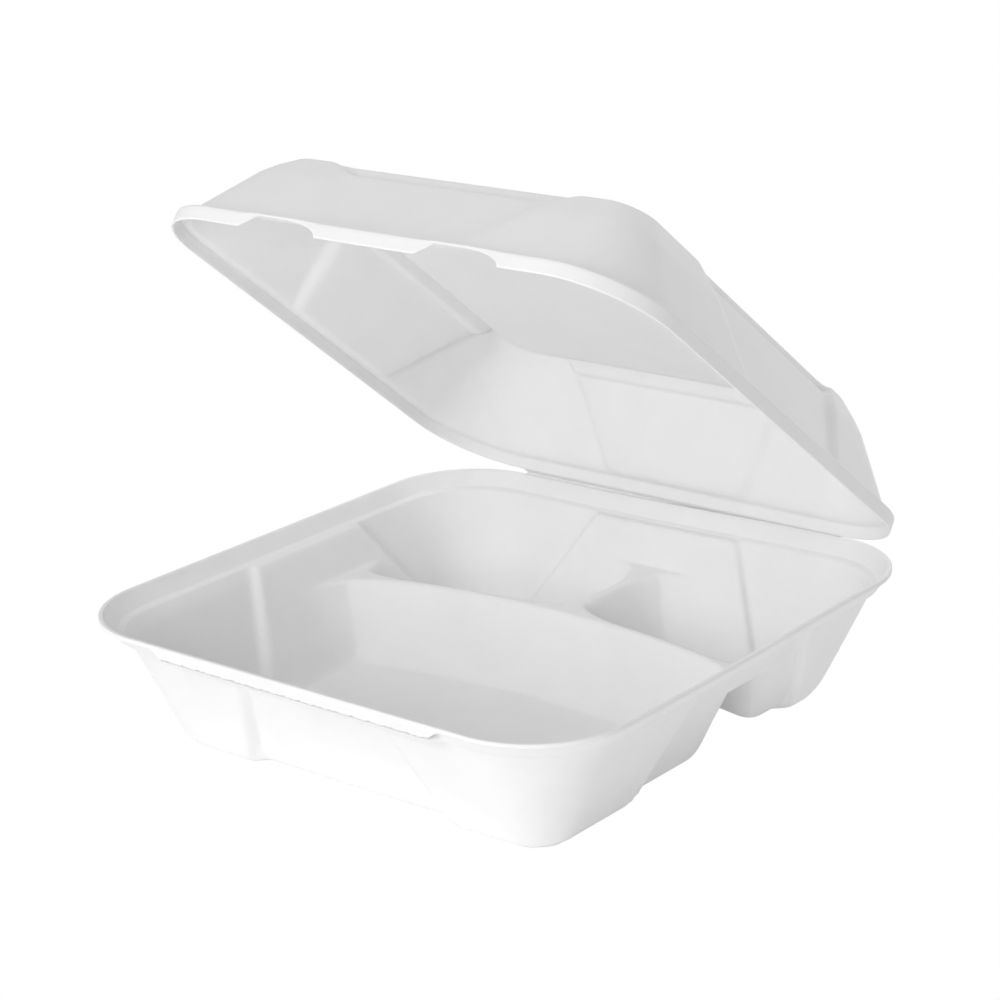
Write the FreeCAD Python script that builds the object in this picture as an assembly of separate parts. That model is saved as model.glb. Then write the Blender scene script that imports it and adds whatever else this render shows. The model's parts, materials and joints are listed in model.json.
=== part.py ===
"""Hinged three-compartment food container, pressed in one sheet of plant fibre pulp.

The tray stands on z = 0 with its centre at the origin, +X to its right and +Y to its back, where the
lid folds up. The lid is drawn shut on the tray, and then turned open about the fold. All sizes are
in millimetres. An inset is a distance in from the outer edge of the tray's square rim.
"""
import FreeCAD, Part
import math
import os

# Sheet and running gaps
SHEET = 0.9                 # thickness of the pressed fibre
FOLD_GAP = 0.3              # air between tray and lid, at the fold and under the skirt

# Tray
RIM_SIDE = 219.4            # outer side of the square rim
RIM_RADIUS = 35.9           # plan radius of the rim's corners
RIM_HEIGHT = 49.0           # top of the lip above the table
LIP_HEIGHT = 1.6            # upright outer edge of the lip
LIP_ROUND = 0.4             # chamfer along its top
LIP_WIDTH = 1.5             # width of the lip, chamfer included
FLANGE_DEPTH = 7.8          # sloping flange inside the lip, down to the ledge
FLANGE_LEAN = 4.6           # how far it leans in over its depth
LEDGE_WIDTH = 1.4           # ledge that runs round the inside
LEDGE_FALL = 0.9            # how far the ledge falls over its width
WALL_LEAN = 0.48            # inward run of the walls for each millimetre down
CORNER_SHRINK = 0.84        # corner radius lost for each millimetre of inset
FOOT_ROUND = 5.0            # rounding between walls and floor
ROUND_STEPS = 3             # flat bands that make up that rounding

# Dividers
DIVIDER_HEIGHT = 29.0       # top of the dividers above the table
DIVIDER_TOP = 3.6           # flat top of a divider
DIVIDER_LEAN = 0.5          # spread of a divider's faces for each millimetre down
DIVIDER_BOW = 10.5          # how far the long divider bows back at its middle
DIVIDER_CHORD = 156.0       # length over which the bow is taken
DIVIDER_BACK = 34.5         # front edge of the long divider at its middle, behind the centre
POCKET_RADIUS = 13.0        # plan rounding where a divider meets a wall or the other divider

# Stiffening panels pressed in at the middle of each wall
PANEL_RIM_HALF = 30.0       # half width of a panel at the end next to the rim
PANEL_FAR_HALF = 44.0       # half width at its other end
PANEL_RIM_DEPTH = 2.2       # how far it stands in next to the rim
PANEL_FAR_DEPTH = 4.5       # how far it stands in at its other end
LID_PANEL_FAR_DEPTH = 7.0   # the same in the lid, whose panels reach up past the border of its top
PANEL_STEP = 9.0            # width of the slanted step at each side of a panel
PANEL_SHIFT = 9.0           # the side walls' panels lie this far behind the centre

# Closure at the front
SLOT_LENGTH = 118.0         # slot through the tray's flange, which takes the lid's tab
SLOT_HEIGHT = 0.8
BROW_DEPTH = 3.4            # the lip is drawn down to a brow over the slot, below its top edge
BROW_REACH = 1.5            # how far the brow's lower edge stands out
BROW_SLANT = 4.0            # run of the brow's slanted ends
TAB_ROOT_HALF = 26.0        # half width of the lid's tab where it leaves the shelf
TAB_TIP_HALF = 21.5         # and at its free edge
NOTCH_ROOT_HALF = 48.0      # outer ends of the notches beside the tab, at the shelf
NOTCH_TIP_HALF = 57.0       # and at the skirt's free edge

# Lid
LID_INSET = 3.0             # the skirt's sides and back, in from the rim's edge
LID_RADIUS = 33.0           # plan radius of the skirt's corners
LID_FRONT_REACH = 1.3       # how far the skirt's front stands out over the rim's edge
SKIRT_HEIGHT = 5.6          # free edge of the skirt up to the shelf
SHELF_WIDTH = 3.4           # shelf between the skirt and the dome
DOME_WALL = 24.0            # height of the dome's wall
DOME_LEAN = 0.68            # inward run of the dome's wall for each millimetre up
CROWN_HEIGHT = 9.4          # slanted band between the wall and the border of the top
CROWN_WIDTH = 9.5
BORDER_WIDTH = 5.0          # raised border round the flat top
TOP_DEPTH = 2.4             # how far the flat top lies below its border
TOP_LEAN = 1.6              # run of the step between them
OPEN_ANGLE = 38.0           # how far the lid stands open

# Levels and lines that follow from the sizes above
RIM_HALF = RIM_SIDE / 2
LIP_FOOT = RIM_HEIGHT - LIP_HEIGHT
LEDGE_TOP = RIM_HEIGHT - FLANGE_DEPTH
LEDGE_FOOT = LEDGE_TOP - LEDGE_FALL
LEDGE_INSET = LIP_WIDTH + FLANGE_LEAN + LEDGE_WIDTH
BROW_FOOT = RIM_HEIGHT - BROW_DEPTH
BROW_TOP_HALF = SLOT_LENGTH / 2 + BROW_SLANT
WALL_OFFSET = SHEET * math.hypot(1.0, WALL_LEAN)
BOW_RADIUS = ((DIVIDER_CHORD / 2) ** 2 + DIVIDER_BOW ** 2) / (2 * DIVIDER_BOW)
BOW_CENTRE = DIVIDER_BACK - BOW_RADIUS
HINGE_Y = RIM_HALF + FOLD_GAP
HINGE_Z = RIM_HEIGHT + FOLD_GAP / 2
LID_HALF = RIM_HALF - LID_INSET
SKIRT_FOOT = RIM_HEIGHT + FOLD_GAP
SHELF_LEVEL = SKIRT_FOOT + SKIRT_HEIGHT
SHOULDER_LEVEL = SHELF_LEVEL + DOME_WALL
DOME_TOP = SHOULDER_LEVEL + CROWN_HEIGHT


def point(x, y, z):
    return FreeCAD.Vector(x, y, z)


def corner_arc(cx, cy, radius, start, sweep, z):
    """Arc about (cx, cy) at height z, from one bearing through an angle, both in degrees."""
    turns = [math.radians(start + sweep * part) for part in (0.0, 0.5, 1.0)]
    spots = [point(cx + radius * math.cos(turn), cy + radius * math.sin(turn), z) for turn in turns]
    return Part.Arc(*spots).toShape()


def closed_wire(arcs):
    """Wire through the arcs in their order, with a straight line from each arc to the next."""
    edges = []
    for arc, after in zip(arcs, arcs[1:] + arcs[:1]):
        edges.append(arc)
        if arc.lastVertex(True).Point.distanceToPoint(after.firstVertex(True).Point) > 1e-6:
            edges.append(Part.makeLine(arc.lastVertex(True).Point, after.firstVertex(True).Point))
    return Part.Wire(edges)


def box_wire(half_x, front, back, radius, z):
    """Rectangle with round corners at height z, from y = front to y = back."""
    spots = ((half_x, back, 0), (-half_x, back, 90), (-half_x, front, 180), (half_x, front, 270))
    arcs = []
    for x, y, start in spots:
        cx = math.copysign(half_x - radius, x)
        cy = y - radius if y == back else y + radius
        arcs.append(corner_arc(cx, cy, radius, start, 90, z))
    return closed_wire(arcs)


def rim_wire(inset, z):
    half = RIM_HALF - inset
    return box_wire(half, -half, half, RIM_RADIUS - CORNER_SHRINK * inset, z)


def lid_wire(inset, z):
    """The lid's outline, drawn in by an inset from its skirt's outer face."""
    half = LID_HALF - inset
    front = inset - RIM_HALF - LID_FRONT_REACH
    return box_wire(half, front, half, LID_RADIUS - CORNER_SHRINK * inset, z)


def stack(wire, levels):
    """Solid with straight sides between the wires drawn at each (inset, height) pair in turn."""
    lofts = []
    for low, high in zip(levels, levels[1:]):
        lofts.append(Part.makeLoft([wire(*low), wire(*high)], True, True))
    return lofts[0].fuse(lofts[1:]) if len(lofts) > 1 else lofts[0]


def wall_inset(z):
    """Inset of a wall's inner face at height z, below the ledge."""
    return LEDGE_INSET + WALL_LEAN * (LEDGE_FOOT - z)


def bearing(x, y):
    return math.degrees(math.atan2(y, x))


def front_pocket_wire(grow, z):
    """Front compartment at height z: a rectangle whose back is the long divider's bowed face.

    grow moves every face outward. The bowed face is a circle of radius B about (0, BOW_CENTRE), and
    a back corner of radius r lies inside it, its centre at a distance B - r from there.
    """
    half = RIM_HALF - wall_inset(z) + grow
    bow = BOW_RADIUS - DIVIDER_LEAN * (DIVIDER_HEIGHT - z) + grow
    front_round = RIM_RADIUS - CORNER_SHRINK * (RIM_HALF - half)
    back_round = POCKET_RADIUS + grow
    cx = half - back_round
    rise = math.sqrt((bow - back_round) ** 2 - cx ** 2)
    side = bearing(cx, rise)
    arcs = [
        corner_arc(cx, BOW_CENTRE + rise, back_round, 0, side, z),
        corner_arc(0, BOW_CENTRE, bow, side, 180 - 2 * side, z),
        corner_arc(-cx, BOW_CENTRE + rise, back_round, 180 - side, side, z),
        corner_arc(front_round - half, front_round - half, front_round, 180, 90, z),
        corner_arc(half - front_round, front_round - half, front_round, 270, 90, z),
    ]
    return closed_wire(arcs)


def rear_pocket_wire(grow, z):
    """Right rear compartment at height z: bounded by the bowed face, the short divider and two walls.

    Its two front corners of radius r lie outside the bowed face of radius B, so their centres are at
    a distance B + r from (0, BOW_CENTRE).
    """
    half = RIM_HALF - wall_inset(z) + grow
    spread = DIVIDER_LEAN * (DIVIDER_HEIGHT - z) - grow
    bow = BOW_RADIUS + DIVIDER_TOP + spread
    left = DIVIDER_TOP / 2 + spread
    outer_round = RIM_RADIUS - CORNER_SHRINK * (RIM_HALF - half)
    pocket_round = POCKET_RADIUS + grow
    right_x = half - pocket_round
    right_rise = math.sqrt((bow + pocket_round) ** 2 - right_x ** 2)
    left_x = left + pocket_round
    left_rise = math.sqrt((bow + pocket_round) ** 2 - left_x ** 2)
    right_turn = bearing(right_x, right_rise)
    left_turn = bearing(left_x, left_rise)
    arcs = [
        corner_arc(half - outer_round, half - outer_round, outer_round, 0, 90, z),
        corner_arc(left_x, half - pocket_round, pocket_round, 90, 90, z),
        corner_arc(left_x, BOW_CENTRE + left_rise, pocket_round, 180, left_turn, z),
        corner_arc(0, BOW_CENTRE, bow, left_turn, right_turn - left_turn, z),
        corner_arc(right_x, BOW_CENTRE + right_rise, pocket_round, 180 + right_turn, 180 - right_turn, z),
    ]
    return closed_wire(arcs)


def pocket(wire, offset, floor, top):
    """Compartment from its rounded floor up to the dividers' top; offset makes the sheet's other side."""
    levels = [(offset, top)]
    for step in range(ROUND_STEPS + 1):
        turn = math.radians(90 - 90 * step / ROUND_STEPS)
        levels.append((offset - FOOT_ROUND * (1 - math.sin(turn)), floor + FOOT_ROUND * (1 - math.cos(turn))))
    return stack(wire, levels[::-1])


def all_pockets(offset, floor, top):
    right = pocket(rear_pocket_wire, offset, floor, top)
    left = right.mirror(point(0, 0, 0), point(1, 0, 0))
    return [pocket(front_pocket_wire, offset, floor, top), right, left]


def panel_wedge(near, far, turn, shift):
    """Wedge that presses one wall in, drawn at the front and turned about the centre to its wall.

    near and far are its two ends as (height, distance of the pressed face from the centre, depth,
    half width). It reaches out past the wall to twice its depth.
    """
    ends = []
    for z, distance, depth, half in (near, far):
        inner = half - PANEL_STEP / 2
        outer = half + 1.5 * PANEL_STEP
        back = -distance - 2 * depth
        spots = ((-outer, back), (outer, back), (inner, -distance), (-inner, -distance))
        corners = [point(x, y, z) for x, y in spots]
        ends.append(Part.makePolygon(corners + corners[:1]))
    wedge = Part.makeLoft(ends, True, True)
    wedge.rotate(point(0, 0, 0), point(0, 0, 1), turn)
    wedge.translate(point(0, shift, 0))
    return wedge


def tray_panels(offset, top, floor):
    """The tray's four pressed panels, moved out by an offset, between two heights."""
    wedges = []
    near_face = RIM_HALF - wall_inset(top) - PANEL_RIM_DEPTH + offset
    far_face = RIM_HALF - wall_inset(floor) - PANEL_FAR_DEPTH + offset
    near = (top, near_face, PANEL_RIM_DEPTH, PANEL_RIM_HALF)
    far = (floor, far_face, PANEL_FAR_DEPTH, PANEL_FAR_HALF)
    for turn, shift in ((0, 0.0), (90, PANEL_SHIFT), (180, 0.0), (270, PANEL_SHIFT)):
        wedges.append(panel_wedge(near, far, turn, shift))
    return wedges


def brow():
    """The lip's front drawn down and out over the slot, with slanted ends."""
    sections = []
    for z, half, out in ((BROW_FOOT, SLOT_LENGTH / 2, BROW_REACH), (LIP_FOOT + SHEET, BROW_TOP_HALF, 0.0)):
        front = -RIM_HALF - out
        spots = ((-half, front), (half, front), (half, front + SHEET), (-half, front + SHEET))
        corners = [point(x, y, z) for x, y in spots]
        sections.append(Part.makePolygon(corners + corners[:1]))
    return Part.makeLoft(sections, True, True)


def slot():
    """Slot through the flange at the level of the brow's foot."""
    corner = point(-SLOT_LENGTH / 2, -RIM_HALF, BROW_FOOT - SLOT_HEIGHT)
    return Part.makeBox(SLOT_LENGTH, LIP_WIDTH + FLANGE_LEAN, SLOT_HEIGHT, corner)


def tray_upper(offset, floor, top):
    """Space inside the tray above the dividers, or with an offset the outside of that part."""
    lean = WALL_OFFSET * offset
    slope = FLANGE_LEAN / FLANGE_DEPTH
    flange_lean = SHEET * math.hypot(1.0, slope) * offset
    levels = [
        (wall_inset(floor) - lean, floor),
        (LEDGE_INSET - lean, LEDGE_FOOT - SHEET * offset),
        (LIP_WIDTH + FLANGE_LEAN - flange_lean, LEDGE_TOP - SHEET * offset),
        (LIP_WIDTH - flange_lean - slope * (top - RIM_HEIGHT), top),
    ]
    return stack(rim_wire, levels)


def base_tray():
    divider_under = DIVIDER_HEIGHT - SHEET
    shell = tray_upper(1, divider_under, LIP_FOOT)
    outside = all_pockets(WALL_OFFSET, 0, divider_under)
    shell = shell.fuse(outside).cut(tray_panels(WALL_OFFSET, LEDGE_FOOT - SHEET, -FOOT_ROUND))
    lip = stack(rim_wire, [(0, LIP_FOOT), (0, RIM_HEIGHT - LIP_ROUND), (LIP_ROUND, RIM_HEIGHT)])
    shell = shell.fuse([lip, brow()])
    space = tray_upper(0, DIVIDER_HEIGHT, RIM_HEIGHT + LIP_HEIGHT)
    inside = [space] + all_pockets(0, SHEET, DIVIDER_HEIGHT)
    for hollow in inside:
        shell = shell.cut(hollow.cut(tray_panels(0, LEDGE_FOOT, -FOOT_ROUND)))
    return shell.cut(slot())


def lid_panels(offset, foot):
    """The lid's four pressed panels, moved in by an offset, from a foot up past the flat top."""
    over = DOME_TOP + CROWN_HEIGHT
    wedges = []
    for turn, shift in ((0, 0.0), (90, PANEL_SHIFT), (180, 0.0), (270, PANEL_SHIFT)):
        edge = RIM_HALF + LID_FRONT_REACH if turn == 0 else LID_HALF
        reach = edge - SHELF_WIDTH + DOME_LEAN * SHELF_LEVEL - offset
        near_face = reach - DOME_LEAN * foot - PANEL_RIM_DEPTH
        far_face = reach - DOME_LEAN * over - LID_PANEL_FAR_DEPTH
        near = (foot, near_face, PANEL_RIM_DEPTH, PANEL_RIM_HALF)
        far = (over, far_face, LID_PANEL_FAR_DEPTH + CROWN_WIDTH, PANEL_FAR_HALF)
        wedges.append(panel_wedge(near, far, turn, shift))
    return wedges


def dome(offset):
    """Outside of the lid's dome, or its inside where offset is the sheet's thickness."""
    lean = offset * math.hypot(1.0, DOME_LEAN)
    shoulder_inset = SHELF_WIDTH + DOME_LEAN * DOME_WALL
    border_inset = shoulder_inset + CROWN_WIDTH
    levels = [
        (SHELF_WIDTH + lean - DOME_LEAN * SHEET, SHELF_LEVEL - SHEET),
        (shoulder_inset + lean - DOME_LEAN * offset / 2, SHOULDER_LEVEL - offset / 2),
        (border_inset, DOME_TOP - offset),
    ]
    step_inset = border_inset + BORDER_WIDTH - offset
    step = [
        (step_inset + TOP_LEAN, DOME_TOP - TOP_DEPTH - offset),
        (step_inset, DOME_TOP - offset),
        (step_inset, DOME_TOP + TOP_DEPTH),
    ]
    cuts = lid_panels(lean, SHELF_LEVEL - 2 * offset) + [stack(lid_wire, step)]
    return stack(lid_wire, levels).cut(cuts)


def notch(side):
    """Notch in the front skirt beside the tab, with slanted ends, on the side given by its sign."""
    y = -RIM_HALF - LID_FRONT_REACH - SHEET / 2
    deep = 2 * SHEET
    low = SKIRT_FOOT - SHEET
    high = SHELF_LEVEL - SHEET
    spots = ((TAB_TIP_HALF, low), (NOTCH_TIP_HALF, low), (NOTCH_ROOT_HALF, high), (TAB_ROOT_HALF, high))
    corners = [point(side * x, y, z) for x, z in spots]
    return Part.Face(Part.makePolygon(corners + corners[:1])).extrude(point(0, deep, 0))


def shut_lid():
    """The lid as it lies shut on the tray: skirt, shelf and dome, with its strip along the fold."""
    skirt = stack(lid_wire, [(0, SKIRT_FOOT), (0, SHELF_LEVEL)])
    skirt = skirt.cut(stack(lid_wire, [(SHEET, SKIRT_FOOT - SHEET), (SHEET, SHELF_LEVEL - SHEET)]))
    half = LID_HALF - LID_RADIUS
    strip_corner = point(-half, LID_HALF - SHEET, SKIRT_FOOT)
    strip = Part.makeBox(2 * half, LID_INSET + SHEET, SHEET, strip_corner)
    shell = skirt.fuse([strip, dome(0)]).cut(dome(SHEET))
    return shell.cut([notch(1), notch(-1)])


def lid():
    shell = shut_lid()
    shell.rotate(point(0, HINGE_Y, HINGE_Z), point(1, 0, 0), -OPEN_ANGLE)
    return shell


os.makedirs("parts", exist_ok=True)
for name, build in (("base_tray", base_tray), ("lid", lid)):
    shape = build()
    shape.exportStep("parts/" + name + ".step")
    print(name, shape.isValid(), len(shape.Solids), len(shape.Faces), round(shape.Volume), shape.BoundBox)
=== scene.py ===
"""Hinged three-compartment food container, pressed in one sheet of white plant fibre pulp.

The tray comes first, then the lid, then the fold that joins them. Shapes are worked out in
millimetres, with +Z up, the fold at the back (+Y) and the closing tab at the front (-Y).
"""
import json
import math

import bpy
import numpy as np
from mathutils import Matrix, Vector


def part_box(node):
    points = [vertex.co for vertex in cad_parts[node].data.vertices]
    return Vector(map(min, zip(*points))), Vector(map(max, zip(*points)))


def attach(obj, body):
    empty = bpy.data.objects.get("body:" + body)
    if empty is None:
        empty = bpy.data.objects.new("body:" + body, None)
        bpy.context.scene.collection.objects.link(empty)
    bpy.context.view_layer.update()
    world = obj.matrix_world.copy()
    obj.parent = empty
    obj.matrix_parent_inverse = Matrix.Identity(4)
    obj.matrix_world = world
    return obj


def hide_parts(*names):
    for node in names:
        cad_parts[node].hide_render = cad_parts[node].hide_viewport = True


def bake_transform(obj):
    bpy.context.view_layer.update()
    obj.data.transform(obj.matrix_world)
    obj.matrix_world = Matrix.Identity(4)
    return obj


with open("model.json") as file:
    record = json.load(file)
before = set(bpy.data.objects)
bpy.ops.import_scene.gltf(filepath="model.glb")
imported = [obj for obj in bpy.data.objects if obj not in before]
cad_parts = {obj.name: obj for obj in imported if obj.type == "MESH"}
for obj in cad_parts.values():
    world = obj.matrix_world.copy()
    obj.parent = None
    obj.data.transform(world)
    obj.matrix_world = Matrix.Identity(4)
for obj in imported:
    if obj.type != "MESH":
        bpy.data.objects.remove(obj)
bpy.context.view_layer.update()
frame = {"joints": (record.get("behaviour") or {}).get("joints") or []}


# ---- Base tray -----------------------------------------------------------------------------
# One sheet of bleached fibre pulp, pressed wet between heated moulds: three rounded compartments
# under a small ledge, a steep flange above it and a slim lip. At the front the lip is drawn down to
# a brow over the slot that takes the lid's tab.
MM = 0.001
SHEET = 0.9
RIM_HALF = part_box("base_tray")[1][0] / MM
RIM_RADIUS = 35.9
RIM_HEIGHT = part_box("base_tray")[1][2] / MM
CORNER_SHRINK = 0.84        # corner radius lost for each millimetre of inset
LIP_FOOT = RIM_HEIGHT - 1.6
LIP_WIDTH = 1.5
LEDGE_OUTER, LEDGE_INNER = 5.0, 7.2
LEDGE_TOP, LEDGE_FOOT = 43.3, 42.5
WALL_LEAN = 0.48
FLOOR_EDGE = 28.5           # inset of the seam between the walls' grid and the floor's
FRONT_FOOT_BLEND, REAR_FOOT_BLEND = 6.0, 11.0
DIVIDER_LEVEL = 29.0
DIVIDER_HALF = 1.8
DIVIDER_SLOPE = 2.0
DIVIDER_ROUND = 2.4
DIVIDER_BLEND = 14.0        # round where a divider meets a wall or the other divider, at its foot
FLARE = 1.2                 # how fast that round widens with height
BOW_RADIUS = 295.0          # circle that the long divider's middle line follows
BOW_CENTRE = -260.5
BROW_FOOT_HALF, BROW_TOP_HALF = 59.0, 63.0
BROW_DROP, BROW_REACH = 2.4, 1.1
BROW_TOP = RIM_HEIGHT - 0.6
SILL_REACH = 3.8
SILL_FOOT = 37.0            # level at which the sill under the slot has run out into the wall
SILL_FADE = 4.0
SLOT_LOW, SLOT_HIGH = 4.1, 3.6   # insets of the slot's two edges in the flange
PANEL_STEP = 6.5
PANEL_TOP_ROUND = 1.5
PANEL_ENDS = {              # where each wall's panel begins and ends, next to the rim and at the far end
    "front": (-30, 30, -44, 44),
    "back": (-31, 31, -53, 53),
    "side": (-19, 38, -35, 61),
}
TRAY_PANEL_DEPTHS = (2.6, 4.8)
BOW_RISE, BOW_REACH = 10.8, 80.0   # how the floor's grid bends to follow the long divider
CORNER_STEPS = 14
CORNER_LIFT = 1.7
WALL_DRAW = 1.76


def smooth_max(a, b, blend):
    """The larger of two heights, rounded by a parabola where they differ by less than blend."""
    near = np.maximum(blend - np.abs(a - b), 0) / blend
    return np.maximum(a, b) + near * near * blend / 4


def smooth_min(a, b, blend):
    """The smaller of two heights, rounded in the same way as smooth_max."""
    return -smooth_max(-a, -b, blend)


def smooth_step(t):
    """0 below t = 0 and 1 above t = 1, with an S-shaped rise between."""
    t = np.clip(t, 0, 1)
    return t * t * (3 - 2 * t)


def rounded(corners, radii, steps=4):
    """Polyline through the corners, each but the two ends replaced by a parabola about its size."""
    corners = np.array(corners, float)
    points = [corners[:1]]
    share = np.linspace(0, 1, steps + 1)[:, None]
    for before, corner, after, radius in zip(corners, corners[1:], corners[2:], radii):
        come = (before - corner) / np.linalg.norm(before - corner)
        leave = (after - corner) / np.linalg.norm(after - corner)
        half_turn = (math.pi - math.acos(np.clip(come @ leave, -1, 1))) / 2
        reach = radius * math.tan(half_turn)
        start, end = corner + come * reach, corner + leave * reach
        points.append((1 - share) ** 2 * start + 2 * share * (1 - share) * corner + share ** 2 * end)
    points.append(corners[-1:])
    return np.concatenate(points)


def refine(line, step):
    """The polyline with points added so that none of its runs is longer than step."""
    runs = np.linalg.norm(np.diff(line, axis=0), axis=1)
    counts = np.maximum(np.ceil(runs / step).astype(int), 1)
    places = [np.linspace(i, i + 1, n, endpoint=False) for i, n in enumerate(counts)]
    places = np.append(np.concatenate(places), len(line) - 1)
    whole = np.arange(len(line))
    return np.stack([np.interp(places, whole, line[:, 0]), np.interp(places, whole, line[:, 1])], axis=1)


def stations(breaks, counts):
    """Places from the first break to the last, with a count of equal steps between neighbours."""
    runs = [np.linspace(a, b, n, endpoint=False) for a, b, n in zip(breaks, breaks[1:], counts)]
    return np.append(np.concatenate(runs), breaks[-1])


def loop_columns(along_x, along_y, corner_steps):
    """Columns round a square with round corners, from the middle of the front left corner.

    Each column has a place (u, v) on the unit square round which the straight sides run, and the
    bearing of its corner arc. along_x and along_y are the places, -1 to 1, on the straight sides.
    """
    arc = np.radians(45) * np.arange(corner_steps) / corner_steps
    ones = np.ones
    u, v, bearing = [], [], []
    for side, places in ((0, along_x), (1, along_y), (2, -along_x[::-1]), (3, -along_y[::-1])):
        face = math.radians(270 + 90 * side)
        s = np.concatenate([-ones(corner_steps), places, ones(corner_steps - 1)])
        turn = np.concatenate([arc - np.radians(45), np.zeros(len(places)), arc[1:]])
        out = (math.cos(face), math.sin(face))
        u.append(out[0] - out[1] * s)
        v.append(out[1] + out[0] * s)
        bearing.append(face + turn)
    return np.concatenate(u), np.concatenate(v), np.concatenate(bearing)


def loop_points(columns, inset, half, radius, front=None, least=0):
    """Plan of the loops at each inset, one row per inset: sides at half - inset and round corners.

    x = (h - r) u + r cos b and y = (h - r) v + r sin b, with h and r the half width and the corner
    radius left at that inset, which is no less than least. front is the distance of the front side
    from the centre, if it differs.
    """
    u, v, bearing = columns
    inset = np.asarray(inset, float)[:, None]
    h = half - inset
    r = np.maximum(radius - CORNER_SHRINK * inset, least)
    x = (h - r) * u + r * np.cos(bearing)
    y = (h - r) * v + r * np.sin(bearing)
    if front is not None:
        y = y + (half - front) * (1 - v) / 2
    return x, y


def patch_points(x, y, across, up):
    """Grid inside a closed loop: each point blends its two side points and its two end points.

    This is a Coons patch. Its four edges are the loop's points between the middles of the corners.
    """
    loop = np.stack([x, y], axis=-1)
    front = loop[:across + 1]
    right = loop[across:across + up + 1]
    back = loop[across + up:2 * across + up + 1][::-1]
    left = np.concatenate([loop[2 * across + up:], loop[:1]])[::-1]
    s = ((front[:, 0] - front[0, 0]) / (front[-1, 0] - front[0, 0]))[None, :, None]
    t = ((left[:, 1] - left[0, 1]) / (left[-1, 1] - left[0, 1]))[:, None, None]
    sides = (1 - t) * front[None] + t * back[None] + (1 - s) * left[:, None] + s * right[:, None]
    front_corners = (1 - s) * (1 - t) * front[0] + s * (1 - t) * front[-1]
    grid = sides - (front_corners + (1 - s) * t * back[0] + s * t * back[-1])
    return grid[..., 0], grid[..., 1]


def patch_index(loop_start, inner_start, across, up):
    """Vertex numbers of a patch grid: its edge is a loop's vertices, and its inside is new ones."""
    count = 2 * (across + up)
    loop = loop_start + np.arange(count)
    index = np.empty((up + 1, across + 1), int)
    index[1:-1, 1:-1] = inner_start + np.arange((up - 1) * (across - 1)).reshape(up - 1, across - 1)
    index[0] = loop[:across + 1]
    index[:, -1] = loop[across:across + up + 1]
    index[-1] = loop[across + up:2 * across + up + 1][::-1]
    index[1:, 0] = loop[2 * across + up:][::-1]
    return index


def patch_quads(index):
    """Faces of a patch grid, from its vertex numbers."""
    low, high = index[:-1], index[1:]
    return np.stack([low[:, :-1], low[:, 1:], high[:, 1:], high[:, :-1]], axis=-1).reshape(-1, 4)


def loop_quads(rows, count):
    """Faces between neighbouring loops, each loop closed, as an array by row and column."""
    index = np.arange(rows * count).reshape(rows, count)
    after = np.roll(index, -1, axis=1)
    return np.stack([index[:-1], index[1:], after[1:], after[:-1]], axis=-1)


def surface_normals(points, quads):
    """Unit normals at the points, each the sum of its faces' normals, or zero where there is no face."""
    p = points[quads]
    face = np.cross(p[:, 2] - p[:, 0], p[:, 3] - p[:, 1])
    total = np.zeros_like(points)
    for corner in range(4):
        for axis in range(3):
            total[:, axis] += np.bincount(quads[:, corner], face[:, axis], len(points))
    return total / np.maximum(np.linalg.norm(total, axis=1), 1e-9)[:, None]


def pressed_shell(loops, sheet_rows, under_rows, middle, across, up):
    """Closed shell of one pressed sheet, as its points, its faces by row and column, and its ends' faces.

    loops are rows of points, from the edge of the middle grid out over the rim and back in under it.
    The first sheet_rows of them and the middle are the sheet's upper face. Its lower face is the same
    rows, those named in under_rows, and the same middle, moved by the sheet's thickness along the
    normals.
    """
    count = loops.shape[1]
    upper = np.concatenate([loops[:sheet_rows].reshape(-1, 3), middle[1:-1, 1:-1].reshape(-1, 3)])
    middle_index = patch_index(0, sheet_rows * count, across, up)
    upper_quads = np.concatenate([loop_quads(sheet_rows, count).reshape(-1, 4), patch_quads(middle_index)])
    lower = upper - SHEET * surface_normals(upper, upper_quads)
    lower_loops = lower[:sheet_rows * count].reshape(sheet_rows, count, 3)[under_rows]
    rows = len(loops) + len(under_rows)
    inner = upper[sheet_rows * count:]
    points = np.concatenate([
        loops.reshape(-1, 3), lower_loops.reshape(-1, 3), inner, lower[sheet_rows * count:]])
    above = patch_quads(patch_index(0, rows * count, across, up))
    beneath = patch_quads(patch_index((rows - 1) * count, rows * count + len(inner), across, up))
    return points, loop_quads(rows, count), np.concatenate([above, beneath[:, ::-1]])


def new_piece(name, points, quads, material):
    """Object at the origin with smooth faces, from points in millimetres."""
    mesh = bpy.data.meshes.new(name)
    mesh.from_pydata((points * MM).tolist(), [], quads.tolist())
    mesh.polygons.foreach_set("use_smooth", np.ones(len(quads), bool))
    mesh.materials.append(material)
    mesh.update()
    piece = bpy.data.objects.new(name, mesh)
    bpy.context.scene.collection.objects.link(piece)
    return piece


def panel_depth(x, y, share, depths, ends, step=PANEL_STEP):
    """How far the four stiffening panels stand in at each point.

    depths are those at the two ends of a panel's height, and share runs from 0 to 1 between them.
    The depth fades over the slanted step at each side of a panel.
    """
    depth = depths[0] + (depths[1] - depths[0]) * share
    along = {"front": x, "back": x, "side": y}
    total = 0
    walls = (("side", np.abs(x) > np.abs(y)), ("back", y >= np.abs(x)), ("front", y <= -np.abs(x)))
    for wall, here in walls:
        near_low, near_high, far_low, far_high = ends[wall]
        low = near_low + (far_low - near_low) * share
        high = near_high + (far_high - near_high) * share
        inside = smooth_step((along[wall] - low) / step + 0.5)
        inside = inside * smooth_step((high - along[wall]) / step + 0.5)
        total = np.where(here, depth * inside, total)
    return total


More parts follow.
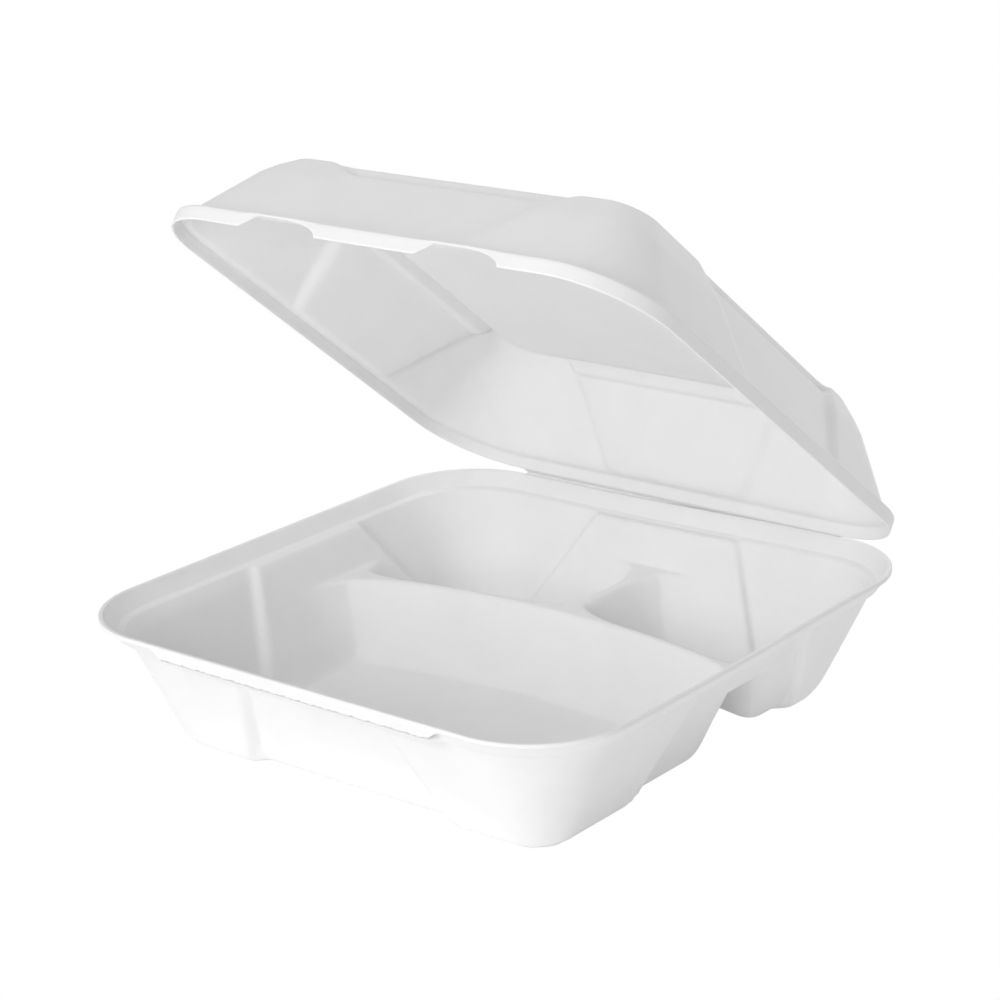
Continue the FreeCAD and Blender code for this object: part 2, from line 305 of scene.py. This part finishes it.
def tray_height(inset, x, y):
    """Height of the tray's inner face.

    The wall follows the rim's profile by inset, and its panels are a wall that starts further in.
    The dividers are ridges with straight flanks, one about a circle and one about x = 0. Wall and
    flanks meet in wide rounds, the ridges are cut off at their level, and the floor rounds into all.
    """
    plain = np.interp(inset, tray_profile[::-1, 0], tray_profile[::-1, 1])
    line = LEDGE_FOOT - (inset - LEDGE_INNER) / WALL_LEAN
    press = panel_depth(x, y, 1 - np.clip(line / LEDGE_FOOT, 0, 1), TRAY_PANEL_DEPTHS, PANEL_ENDS)
    panel = smooth_min(line + press / WALL_LEAN, np.full_like(line, LEDGE_FOOT), PANEL_TOP_ROUND)
    wall = np.maximum(plain, np.where(press > 0, panel, plain))
    from_bow = np.hypot(x, y - BOW_CENTRE) - BOW_RADIUS - DIVIDER_HALF
    ridge = DIVIDER_LEVEL + DIVIDER_ROUND / 4
    long_flank = ridge - DIVIDER_SLOPE * (np.abs(from_bow) - DIVIDER_HALF)
    short_flank = ridge - DIVIDER_SLOPE * (np.abs(x) - DIVIDER_HALF)
    widening = DIVIDER_BLEND + FLARE * np.clip(long_flank, 0, ridge)
    both = smooth_max(long_flank, short_flank, widening)
    flanks = np.where(from_bow > 0, both, long_flank)
    flare = DIVIDER_BLEND + FLARE * np.clip(np.maximum(wall, flanks), 0, ridge)
    crowned = smooth_min(smooth_max(wall, flanks, flare), np.full_like(wall, ridge), DIVIDER_ROUND)
    rise = np.maximum(crowned - wall, 0)
    height = wall + rise * rise / (rise + DIVIDER_ROUND / 4)
    foot = np.where(from_bow > 0, REAR_FOOT_BLEND, FRONT_FOOT_BLEND)
    return smooth_max(height, np.full_like(height, SHEET), foot)


tray_straight = RIM_HALF - RIM_RADIUS
tray_breaks = (
    -tray_straight, -BROW_TOP_HALF, -BROW_FOOT_HALF, -17, 17, BROW_FOOT_HALF, BROW_TOP_HALF, tray_straight)
tray_across_places = stations(tray_breaks, (6, 4, 30, 30, 30, 4, 6)) / tray_straight
tray_up_places = stations((-tray_straight, 6, 46, tray_straight), (42, 50, 16)) / tray_straight
tray_columns = loop_columns(tray_across_places, tray_up_places, CORNER_STEPS)
tray_across = len(tray_across_places) - 1 + 2 * CORNER_STEPS
tray_up = len(tray_up_places) - 1 + 2 * CORNER_STEPS

tray_profile = rounded(
    [(50, LEDGE_FOOT - (50 - LEDGE_INNER) / WALL_LEAN), (LEDGE_INNER, LEDGE_FOOT), (LEDGE_OUTER, LEDGE_TOP),
     (LIP_WIDTH, RIM_HEIGHT)],
    (1.2, 0.8),
)
wall_top = LEDGE_INNER + 2.5
flange_foot = LEDGE_OUTER - 0.6
flange_head = LIP_WIDTH + 0.6
wall_insets = np.linspace(FLOOR_EDGE, wall_top, 28, endpoint=False)
on_ledge = (tray_profile[:, 0] < wall_top) & (tray_profile[:, 0] > flange_foot)
ledge_insets = refine(tray_profile[on_ledge], 0.9)[:, 0]
ledge_insets = np.concatenate([np.linspace(wall_top, ledge_insets[0], 4, endpoint=False), ledge_insets])
flange_insets = stations((flange_foot, SLOT_LOW, SLOT_HIGH, flange_head), (2, 1, 2))
tray_insets = np.concatenate([wall_insets, ledge_insets, flange_insets])
x, y = loop_points(tray_columns, tray_insets, RIM_HALF, RIM_RADIUS)
z = tray_height(tray_insets[:, None] + 0 * x, x, y)
wall_loops = np.stack([x, y, z], axis=-1)

x, y = patch_points(x[0], y[0], tray_across, tray_up)
bow = BOW_RISE * np.clip(1 - (x / BOW_REACH) ** 2, 0, 1)
y = y + bow * smooth_step((y + 60) / 70) * smooth_step((82 - y) / 36)
from_edge = RIM_HALF - np.maximum(np.abs(x), np.abs(y))
z = tray_height(np.maximum(from_edge, FLOOR_EDGE), x, y)
floor_grid = np.stack([x, y, z], axis=-1)

lip_line = rounded(
    [(flange_head, wall_loops[-1, 0, 2]), (LIP_WIDTH, RIM_HEIGHT), (0, RIM_HEIGHT), (0, LIP_FOOT),
     (SHEET, LIP_FOOT), (SHEET, LIP_FOOT + 0.3)],
    (0.5, 0.6, 0.42, 0.42), 4,
)[1:]
lip_line = refine(lip_line, 0.5)
x, y = loop_points(tray_columns, lip_line[:, 0], RIM_HALF, RIM_RADIUS)
pull = np.clip((BROW_TOP_HALF - np.abs(x)) / (BROW_TOP_HALF - BROW_FOOT_HALF), 0, 1) * (y < 4 - RIM_HALF)
share = np.clip((BROW_TOP - lip_line[:, 1:]) / (BROW_TOP - LIP_FOOT), 0, 1)
share = share * (lip_line[:, :1] < SHEET + 0.1)
# The brow's lower edge is ragged, where the fibre tore as the sheet was trimmed.
torn = 1 + 0.09 * np.sin(x * 1.9 + 1) + 0.07 * np.sin(x * 0.83)
y = y - BROW_REACH * pull * share
z = lip_line[:, 1:] - BROW_DROP * pull * torn * share + 0 * x
lip_loops = np.stack([x, y, z], axis=-1)

sheet_rows = len(wall_loops)
slot_low_row = int(np.argmin(np.abs(tray_insets - SLOT_LOW)))
ledge_row = int(np.argmin(np.abs(tray_insets - LEDGE_INNER - 3)))
flange_rows = np.arange(ledge_row, sheet_rows)
tray_under_rows = np.unique(np.concatenate([np.arange(ledge_row, 0, -2), flange_rows, [0]]))[::-1]
tray_points, tray_quads, tray_ends = pressed_shell(
    np.concatenate([wall_loops, lip_loops]), sheet_rows, tray_under_rows, floor_grid, tray_across, tray_up)
tray_points[:, 2] = np.maximum(tray_points[:, 2], 0)

rows = sheet_rows + len(lip_loops) + np.arange(len(tray_under_rows))
under_low_row = int(rows[tray_under_rows == slot_low_row][0])

# Below the slot the flange's outer face stands out as a sill, close under the brow.
count = tray_quads.shape[1]
sill = tray_points[under_low_row * count:(under_low_row + 40) * count]
reach_out = smooth_step((sill[:, 2] - SILL_FOOT) / (sill[:count, 2].max() - SILL_FOOT)) * (sill[:, 1] < -90)
reach_out = reach_out * np.clip((BROW_TOP_HALF - np.abs(sill[:, 0])) / SILL_FADE, 0, 1)
sill[:, 1] -= SILL_REACH * reach_out

# No tray comes out of the press quite true: one back corner stands high, and the wall below the
# opposite corner is drawn in.
high_corner = smooth_step((tray_points[:, 0] + tray_points[:, 1] - 70) / 110)
level = np.clip(tray_points[:, 2] / RIM_HEIGHT, 0, 1)
drawn_in = WALL_DRAW * smooth_step((-tray_points[:, 0] - tray_points[:, 1] - 100) / 60)
drawn_in = drawn_in * np.interp(level, (0, 0.78, 0.95), (0.3, 1, 0))
tray_points[:, 2] += CORNER_LIFT * high_corner * level ** 2
tray_points[:, :2] += drawn_in[:, None]

# The slot is left out of both faces of the flange and gets walls of its own.
edge_rows = np.array([slot_low_row, slot_low_row + 1, under_low_row - 1, under_low_row])
middle_x = (lip_loops[0, :, 0] + np.roll(lip_loops[0, :, 0], -1)) / 2
slot_columns = np.nonzero((np.abs(middle_x) < BROW_FOOT_HALF) & (lip_loops[0, :, 1] < 0))[0]
kept = np.ones(tray_quads.shape[:2], bool)
kept[slot_low_row, slot_columns] = False
kept[under_low_row - 1, slot_columns] = False
a, b, c, d = edge_rows[:, None] * count + slot_columns
slot_walls = [np.stack([b, b + 1, c + 1, c], axis=-1), np.stack([a, d, d + 1, a + 1], axis=-1)]
slot_walls.append(np.array([[a[0], b[0], c[0], d[0]], [d[-1] + 1, c[-1] + 1, b[-1] + 1, a[-1] + 1]]))
tray_faces = np.concatenate([tray_quads[kept], tray_ends] + slot_walls)


def pulp_material():
    """White pressed fibre: matt, faintly mottled, with fine felt and soft press marks as bump."""
    material = bpy.data.materials.new("moulded_fibre")
    material.use_nodes = True
    nodes, links = material.node_tree.nodes, material.node_tree.links
    shader = nodes["Principled BSDF"]
    shader.inputs["Specular IOR Level"].default_value = 0.28
    shader.inputs["Subsurface Weight"].default_value = 0.12
    shader.inputs["Subsurface Radius"].default_value = (0.003, 0.003, 0.003)
    shader.inputs["Subsurface Scale"].default_value = 1.0
    place = nodes.new("ShaderNodeTexCoord")

    def noise(scale, detail, roughness):
        """Noise over the piece; scale is in patches for each metre."""
        node = nodes.new("ShaderNodeTexNoise")
        node.inputs["Scale"].default_value = scale
        node.inputs["Detail"].default_value = detail
        node.inputs["Roughness"].default_value = roughness
        links.new(place.outputs["Object"], node.inputs["Vector"])
        return node.outputs["Fac"]

    def ramp(source, low, high, start, end):
        node = nodes.new("ShaderNodeMapRange")
        node.inputs["From Min"].default_value = start
        node.inputs["From Max"].default_value = end
        node.inputs["To Min"].default_value = low
        node.inputs["To Max"].default_value = high
        links.new(source, node.inputs["Value"])
        return node.outputs["Result"]

    clouds = noise(45, 4, 0.55)
    felt = noise(900, 6, 0.65)
    colour = nodes.new("ShaderNodeMix")
    colour.data_type = "RGBA"
    colour.inputs["A"].default_value = (0.86, 0.86, 0.86, 1)
    colour.inputs["B"].default_value = (0.88, 0.88, 0.88, 1)
    links.new(ramp(clouds, 0.0, 1.0, 0.35, 0.65), colour.inputs["Factor"])
    links.new(colour.outputs["Result"], shader.inputs["Base Color"])
    links.new(ramp(felt, 0.78, 0.95, 0.3, 0.7), shader.inputs["Roughness"])
    marks = nodes.new("ShaderNodeBump")
    marks.inputs["Strength"].default_value = 0.12
    marks.inputs["Distance"].default_value = 0.0006
    links.new(noise(160, 3, 0.5), marks.inputs["Height"])
    grain = nodes.new("ShaderNodeBump")
    grain.inputs["Strength"].default_value = 0.35
    grain.inputs["Distance"].default_value = 0.00015
    links.new(felt, grain.inputs["Height"])
    links.new(marks.outputs["Normal"], grain.inputs["Normal"])
    links.new(grain.outputs["Normal"], shader.inputs["Normal"])
    return material


pulp = pulp_material()
tray = new_piece("tray_shell", tray_points, tray_faces, pulp)
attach(tray, "tray")
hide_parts("base_tray")


# ---- Lid -----------------------------------------------------------------------------------
# The other half of the same pressed sheet: a domed cover with a shelf and a turned-down skirt round
# it. At the front the skirt is cut away beside a tab, which tucks into the tray's slot.
# It is worked out as it lies shut on the tray, and then turned open about the fold.
LID_HALF = RIM_HALF - 3
LID_FRONT = RIM_HALF + 1.3
LID_RADIUS = 33.0
LID_TAPER = 0.034           # the free front draws in by this share of the lid's width
SKIRT_FOOT = RIM_HEIGHT + 0.3
SHELF_LEVEL = SKIRT_FOOT + 5.6
SHELF_WIDTH = 3.4
DOME_WALL = 24
DOME_LEAN = 0.68
SHOULDER_LEVEL = SHELF_LEVEL + DOME_WALL
DOME_TOP = SHOULDER_LEVEL + 10
FLAT_LEVEL = DOME_TOP - 2.4
SHOULDER_INSET = SHELF_WIDTH + DOME_WALL * DOME_LEAN
CROWN_INSET = SHOULDER_INSET + 9.1
PANEL_TOP_INSET, PANEL_TOP = 26.4, SHELF_LEVEL + 28.8
TOP_EDGE = CROWN_INSET + 15   # inset of the seam between the dome's grid and the flat top's
LID_TOP_RADIUS = 13.0       # least corner radius of the loops towards the flat top
FRONT_PANEL_STEP = 16
LID_PANEL_ENDS = {"front": (-30, 30, -48, 48), "back": (-30, 30, -48, 48), "side": (-21, 39, -39, 57)}
TAB_TIP = 22.0
NOTCH_ROOT, NOTCH_TIP = 50.0, 57.0
NOTCH_ROUND = 16
hinge = frame["joints"][0]["pos_m"]
OPEN_ANGLE = -math.radians(frame["joints"][0]["range_deg"][0])


def dome_height(inset, x, y):
    """Height of the lid's outer face: one profile by inset at the corners, and one in the panels."""
    share = np.clip((inset - SHELF_WIDTH) / (CROWN_INSET - SHELF_WIDTH), 0, 1)
    step = np.where(y < -np.abs(x), FRONT_PANEL_STEP, PANEL_STEP)
    inside = panel_depth(x, y, share, (1, 1), LID_PANEL_ENDS, step)
    corner = np.interp(inset, lid_profile[:, 0], lid_profile[:, 1])
    panel = np.interp(inset, lid_panel_profile[:, 0], lid_panel_profile[:, 1])
    return corner + (panel - corner) * inside


def skirt_edge(x, y):
    """Level of the skirt's free edge: its foot, or up under the shelf in the two notches.

    Each notch begins with a slanted end and closes as a quarter of an ellipse.
    """
    left = np.clip(np.where(x < 0, x + NOTCH_TIP, x - TAB_TIP) / (NOTCH_TIP - NOTCH_ROOT), 0, 1)
    right = np.clip(np.where(x < 0, -TAB_TIP - x, NOTCH_TIP - x) / NOTCH_ROUND, 0, 1)
    cut = np.minimum(left, np.sqrt(1 - (1 - right) ** 2)) * (y < -0.8 * LID_FRONT)
    return SKIRT_FOOT + (SHELF_LEVEL - SHEET - 0.2 - SKIRT_FOOT) * cut


lid_straight = LID_HALF - LID_RADIUS
lid_breaks = (-lid_straight, -58, -50, -38, -21, 21, 29, 40, 58, lid_straight)
lid_across_places = stations(lid_breaks, (8, 12, 6, 22, 22, 12, 6, 22, 8)) / lid_straight
lid_up_places = stations((-lid_straight, lid_straight), (84,)) / lid_straight
lid_columns = loop_columns(lid_across_places, lid_up_places, CORNER_STEPS)
lid_across = len(lid_across_places) - 1 + 2 * CORNER_STEPS
lid_up = len(lid_up_places) - 1 + 2 * CORNER_STEPS

lid_profile = rounded(
    [(0, SHELF_LEVEL), (SHELF_WIDTH, SHELF_LEVEL), (SHOULDER_INSET, SHOULDER_LEVEL),
     (CROWN_INSET, DOME_TOP), (CROWN_INSET + 4.5, DOME_TOP), (CROWN_INSET + 7, FLAT_LEVEL),
     (80, FLAT_LEVEL)],
    (1.6, 5.0, 2.5, 2.5, 2.5),
)
lid_panel_profile = rounded(
    [(0, SHELF_LEVEL), (5.6, SHELF_LEVEL), (PANEL_TOP_INSET, PANEL_TOP),
     (PANEL_TOP_INSET + 3.4, PANEL_TOP + 0.4), (CROWN_INSET + 3, DOME_TOP), (CROWN_INSET + 5.2, DOME_TOP),
     (CROWN_INSET + 7.4, FLAT_LEVEL), (80, FLAT_LEVEL)],
    (1.4, 0.9, 0.9, 1.4, 1.4, 2.0),
)
dome_insets = stations((TOP_EDGE, 37, PANEL_TOP_INSET - 1.2, 7, SHELF_WIDTH - 1, 0.9), (3, 22, 16, 8, 2))
x, y = loop_points(lid_columns, dome_insets, LID_HALF, LID_RADIUS, LID_FRONT, LID_TOP_RADIUS)
z = dome_height(dome_insets[:, None] + 0 * x, x, y)
dome_loops = np.stack([x, y, z], axis=-1)
x, y = patch_points(x[0], y[0], lid_across, lid_up)
top_grid = np.stack([x, y, np.full_like(x, FLAT_LEVEL)], axis=-1)

outer_insets = np.array([0.5, 0.15, 0, 0, 0, 0, 0, 0])
outer_falls = np.array([0.02, 0.07, 0.15, 0.3, 0.5, 0.7, 0.88, 0.96])
foot_insets = np.array([0.13, 0.45, 0.77])
foot_lifts = np.array([0.1, 0, 0.1])
inner_insets = np.array([SHEET, SHEET, SHEET, SHEET, 1.6])
inner_rises = np.array([0.05, 0.35, 0.7, 0.98, 1])
x, y = loop_points(
    lid_columns, np.concatenate([outer_insets, foot_insets, inner_insets]), LID_HALF, LID_RADIUS, LID_FRONT)
edge = skirt_edge(x, y)
outer_edge, foot_edge, inner_edge = np.split(edge, np.cumsum([len(outer_insets), len(foot_insets)]))
outer_z = SHELF_LEVEL - (SHELF_LEVEL - outer_edge) * outer_falls[:, None]
foot_z = foot_edge + foot_lifts[:, None]
inner_z = inner_edge + (SHELF_LEVEL - SHEET - inner_edge) * inner_rises[:, None]
z = np.concatenate([outer_z, foot_z, inner_z])
skirt_loops = np.stack([x, y, z], axis=-1)

shelf_rows = len(dome_loops)
last_shared = int(np.argmax(dome_insets < 2.4))
lid_under_rows = np.unique(np.append(np.arange(last_shared, 0, -2), 0))[::-1]
lid_points, lid_quads, lid_ends = pressed_shell(
    np.concatenate([dome_loops, skirt_loops]), shelf_rows, lid_under_rows, top_grid, lid_across, lid_up)


def open_lid(points):
    """The lid's points, drawn in towards the free front and turned open about the fold."""
    hinge_y, hinge_z = hinge[1] / MM, hinge[2] / MM
    from_fold = (hinge_y - points[:, 1]) / (2 * RIM_HALF)
    across = points[:, 0] * (1 - LID_TAPER * from_fold)
    back, up = points[:, 1] - hinge_y, points[:, 2] - hinge_z
    y = hinge_y + back * math.cos(OPEN_ANGLE) + up * math.sin(OPEN_ANGLE)
    z = hinge_z - back * math.sin(OPEN_ANGLE) + up * math.cos(OPEN_ANGLE)
    return np.stack([across, y, z], axis=-1)


lid_faces = np.concatenate([lid_quads.reshape(-1, 4), lid_ends])
lid = new_piece("lid_shell", open_lid(lid_points), lid_faces, pulp)
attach(lid, "lid")
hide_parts("lid")


# ---- Fold ----------------------------------------------------------------------------------
# The strip of the same sheet that runs from the tray's lip to the lid's skirt along the back. It is
# creased by the press next to the lip, so it bends there and nowhere else.
FOLD_HALF = 73.0
FOLD_SHEET = 0.8
fold_line = refine(rounded([(108.9, 48.0), (109.75, 48.7), (110.15, 49.5), (109.7, 50.1), (107.3, 51.95)],
                           (0.5, 0.5, 0.5)), 0.25)
direction = np.gradient(fold_line, axis=0)
across_line = np.stack([direction[:, 1], -direction[:, 0]], axis=-1)
across_line = across_line / np.linalg.norm(across_line, axis=1)[:, None] * FOLD_SHEET / 2
section = np.concatenate([fold_line + across_line, (fold_line - across_line)[::-1]])
fold_x = np.linspace(-FOLD_HALF, FOLD_HALF, 97)
fold_points = np.stack(np.broadcast_arrays(fold_x[:, None], section[:, 0], section[:, 1]), axis=-1)
fold_quads = loop_quads(len(fold_x), len(section)).reshape(-1, 4)
last = 2 * len(fold_line) - 1
first = np.arange(len(fold_line) - 1)
near_end = np.stack([first, first + 1, last - 1 - first, last - first], axis=-1)
far_end = near_end[:, ::-1] + (len(fold_x) - 1) * len(section)
fold_faces = np.concatenate([fold_quads, near_end, far_end])
fold = new_piece("fold_strip", fold_points.reshape(-1, 3), fold_faces, pulp)
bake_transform(fold)


# ---- Floor, light and camera ---------------------------------------------------------------
# A white sweep that carries no shadow, broad soft lights mostly from the front, one low from behind,
# and an even pale surround.
def split_for_camera(nodes, links, unseen, shown, output):
    """Feed the output with one shader for the camera's own rays and the other for all the rest."""
    path = nodes.new("ShaderNodeLightPath")
    mixed = nodes.new("ShaderNodeMixShader")
    links.new(path.outputs["Is Camera Ray"], mixed.inputs[0])
    links.new(unseen, mixed.inputs[1])
    links.new(shown, mixed.inputs[2])
    links.new(mixed.outputs["Shader"], output)


stage = bpy.data.materials.new("white_sweep")
stage.use_nodes = True
nodes, links = stage.node_tree.nodes, stage.node_tree.links
paper = nodes["Principled BSDF"]
paper.inputs["Base Color"].default_value = (0.86, 0.86, 0.86, 1)
paper.inputs["Roughness"].default_value = 1.0
glow = nodes.new("ShaderNodeEmission")
glow.inputs["Color"].default_value = (1, 1, 1, 1)
paper.inputs["Emission Color"].default_value = (1, 1, 1, 1)
paper.inputs["Emission Strength"].default_value = 0.2
surface = nodes["Material Output"].inputs["Surface"]
split_for_camera(nodes, links, paper.outputs["BSDF"], glow.outputs["Emission"], surface)
sweep_mesh = bpy.data.meshes.new("sweep")
sweep_mesh.from_pydata([(-4, -4, 0), (4, -4, 0), (4, 4, 0), (-4, 4, 0)], [], [(0, 1, 2, 3)])
sweep_mesh.materials.append(stage)
sweep = bpy.data.objects.new("sweep", sweep_mesh)
bpy.context.scene.collection.objects.link(sweep)

world = bpy.data.worlds.new("surround")
bpy.context.scene.world = world
world.use_nodes = True
nodes, links = world.node_tree.nodes, world.node_tree.links
surround = nodes["Background"]
surround.inputs["Color"].default_value = (1, 1, 1, 1)
surround.inputs["Strength"].default_value = 0.4
backdrop = nodes.new("ShaderNodeBackground")
backdrop.inputs["Color"].default_value = (1, 1, 1, 1)
backdrop.inputs["Strength"].default_value = 1.0
surface = nodes["World Output"].inputs["Surface"]
split_for_camera(nodes, links, surround.outputs["Background"], backdrop.outputs["Background"], surface)


def soft_light(name, place, aim, size, power):
    """Square area light at a place, facing the aim."""
    light = bpy.data.lights.new(name, "AREA")
    light.size = size
    light.energy = power
    lamp = bpy.data.objects.new(name, light)
    lamp.location = place
    lamp.rotation_euler = (Vector(place) - Vector(aim)).to_track_quat("Z", "Y").to_euler()
    bpy.context.scene.collection.objects.link(lamp)


soft_light("front_light", (0.3, -1.65, 0.4), (0, 0, 0.06), 0.9, 10)
soft_light("high_front_light", (-0.2, -1.3, 1.1), (0, 0, 0.06), 0.9, 7.6)
soft_light("back_light", (0, 1.5, 0.9), (0, 0, 0.06), 0.9, 12)

AZIMUTH, ELEVATION, ROLL = math.radians(39.14), math.radians(18.34), math.radians(-1.78)
DISTANCE = 1.0795
AIM = Vector((-0.06106, 0.07712, 0.049))
back = Vector((
    math.sin(AZIMUTH) * math.cos(ELEVATION), -math.cos(AZIMUTH) * math.cos(ELEVATION), math.sin(ELEVATION)))
sideways = (-back).cross(Vector((0, 0, 1))).normalized()
upright = sideways.cross(-back)
right = sideways * math.cos(ROLL) + upright * math.sin(ROLL)
up = upright * math.cos(ROLL) - sideways * math.sin(ROLL)
placing = Matrix((right, up, back)).transposed().to_4x4()
placing.translation = AIM + back * DISTANCE
camera_data = bpy.data.cameras.new("camera")
camera_data.sensor_width = 36
camera_data.lens = 100.8
camera_data.clip_start = 0.05
camera = bpy.data.objects.new("camera", camera_data)
camera.matrix_world = placing
bpy.context.scene.collection.objects.link(camera)
bpy.context.scene.camera = camera
bpy.context.scene.view_settings.view_transform = "Standard"
